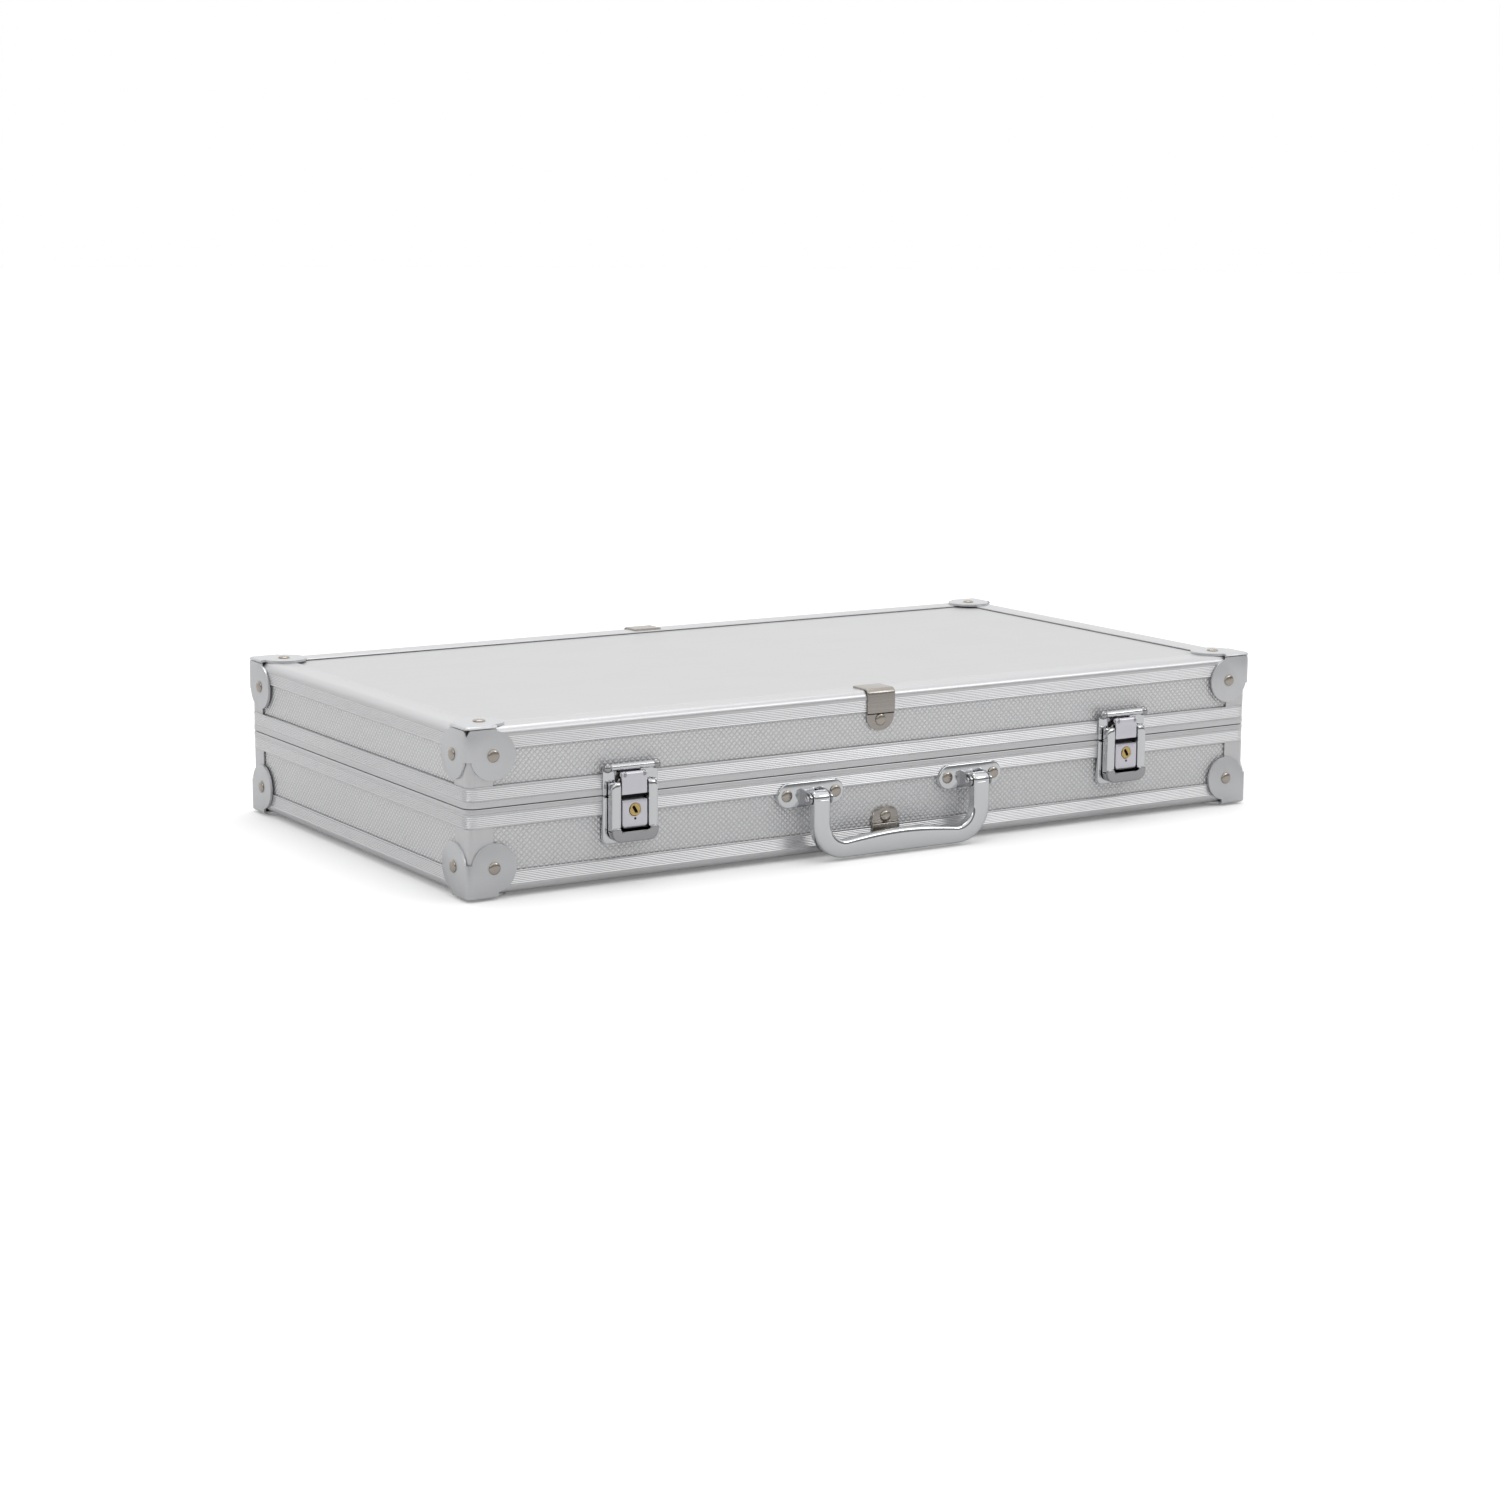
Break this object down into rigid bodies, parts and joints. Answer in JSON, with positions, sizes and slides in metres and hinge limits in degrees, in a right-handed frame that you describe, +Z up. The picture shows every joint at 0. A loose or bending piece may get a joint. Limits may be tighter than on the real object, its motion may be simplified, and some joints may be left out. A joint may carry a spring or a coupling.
{
  "type": "poker chip case",
  "caption": "Aluminium-framed carrying case with hinged lid, key latches, bail handle, steel corner caps and fitted trays for poker chips, cards and dice.",
  "frame": {"origin": "on the surface the case rests on, under the middle of the whole object's box, handle and hinges included", "axes": "+Z up, -Y towards the latches and the handle, +X to the right seen from the front, the hinges at +Y"},
  "size_m": [0.3868, 0.2206, 0.0688],
  "materials": {
    "panel_skin": "satin embossed aluminium-faced wall panel",
    "top_skin": "smooth satin face panel",
    "trim": "ribbed extruded aluminium",
    "rim": "finely ribbed extruded aluminium",
    "post": "smooth satin aluminium",
    "cap": "zinc-plated pressed steel",
    "rivet": "nickel-plated, warm",
    "clip": "nickel-plated pressed steel",
    "chrome": "bright chrome plate",
    "lock": "satin chrome plate",
    "brass": "polished brass",
    "tray": "black flocked foam",
    "lining": "black padded foam lining",
    "hinge": "nickel-plated steel"
  },
  "bodies": {
    "base": {"base_panel": "top_skin", "base_front_wall": "panel_skin", "base_back_wall": "panel_skin", "base_left_wall": "panel_skin", "base_right_wall": "panel_skin", "base_front_trim": "trim", "base_back_trim": "trim", "base_left_trim": "trim", "base_right_trim": "trim", "base_rim": "rim", "base_corner_posts": "post", "base_corner_caps": "cap", "base_rivets": "rivet", "base_clips": "clip", "left_chip_tray": "tray", "right_chip_tray": "tray", "centre_tray": "tray", "hinge_base_leaves": "hinge", "hinge_pins": "hinge", "hinge_base_rivets": "rivet", "left_latch_plate": "chrome", "right_latch_plate": "chrome", "left_lock_body": "lock", "right_lock_body": "lock", "latch_pivot_pins": "chrome", "latch_rivets": "rivet", "left_handle_bracket": "chrome", "right_handle_bracket": "chrome", "handle_pins": "chrome", "bracket_rivets": "rivet"},
    "lid": {"lid_panel": "top_skin", "lid_front_wall": "panel_skin", "lid_back_wall": "panel_skin", "lid_left_wall": "panel_skin", "lid_right_wall": "panel_skin", "lid_front_trim": "trim", "lid_back_trim": "trim", "lid_left_trim": "trim", "lid_right_trim": "trim", "lid_rim": "rim", "lid_corner_posts": "post", "lid_corner_caps": "cap", "lid_rivets": "rivet", "lid_clips": "clip", "lid_lining": "lining", "hinge_lid_leaves": "hinge", "hinge_lid_rivets": "rivet", "left_keeper": "chrome", "right_keeper": "chrome", "keeper_rivets": "rivet"},
    "handle": {"handle": "chrome"},
    "left_lever": {"left_lever": "chrome", "left_hook_pin": "chrome"},
    "right_lever": {"right_lever": "chrome", "right_hook_pin": "chrome"},
    "left_hook": {"left_hook": "chrome"},
    "right_hook": {"right_hook": "chrome"},
    "left_lock_plug": {"left_lock_plug": "brass"},
    "right_lock_plug": {"right_lock_plug": "brass"}
  },
  "joints": [
    {"name": "lid_hinge", "type": "hinge", "parent": "base", "child": "lid", "pos_m": [0, 0.10823, 0.03605], "axis": [-1, 0, 0], "range_deg": [0, 100]},
    {"name": "handle_swing", "type": "hinge", "parent": "base", "child": "handle", "pos_m": [0.002, -0.10693, 0.02665], "axis": [-1, 0, 0], "range_deg": [0, 95]},
    {"name": "left_lever_swing", "type": "hinge", "parent": "base", "child": "left_lever", "pos_m": [-0.1213, -0.10272, 0.04065], "axis": [-1, 0, 0], "range_deg": [0, 90]},
    {"name": "left_hook_tilt", "type": "hinge", "parent": "left_lever", "child": "left_hook", "pos_m": [-0.1213, -0.10272, 0.03725], "axis": [1, 0, 0], "range_deg": [0, 113]},
    {"name": "left_lock_turn", "type": "hinge", "parent": "base", "child": "left_lock_plug", "pos_m": [-0.1213, -0.10343, 0.03015], "axis": [0, -1, 0], "range_deg": [0, 90]},
    {"name": "right_lever_swing", "type": "hinge", "parent": "base", "child": "right_lever", "pos_m": [0.1213, -0.10272, 0.04065], "axis": [-1, 0, 0], "range_deg": [0, 90]},
    {"name": "right_hook_tilt", "type": "hinge", "parent": "right_lever", "child": "right_hook", "pos_m": [0.1213, -0.10272, 0.03725], "axis": [1, 0, 0], "range_deg": [0, 113]},
    {"name": "right_lock_turn", "type": "hinge", "parent": "base", "child": "right_lock_plug", "pos_m": [0.1213, -0.10343, 0.03015], "axis": [0, -1, 0], "range_deg": [0, 90]}
  ],
  "couplings": [
    {"joint": "left_hook_tilt", "follows": "left_lever_swing", "ratio": 1.25},
    {"joint": "right_hook_tilt", "follows": "right_lever_swing", "ratio": 1.25}
  ]
}
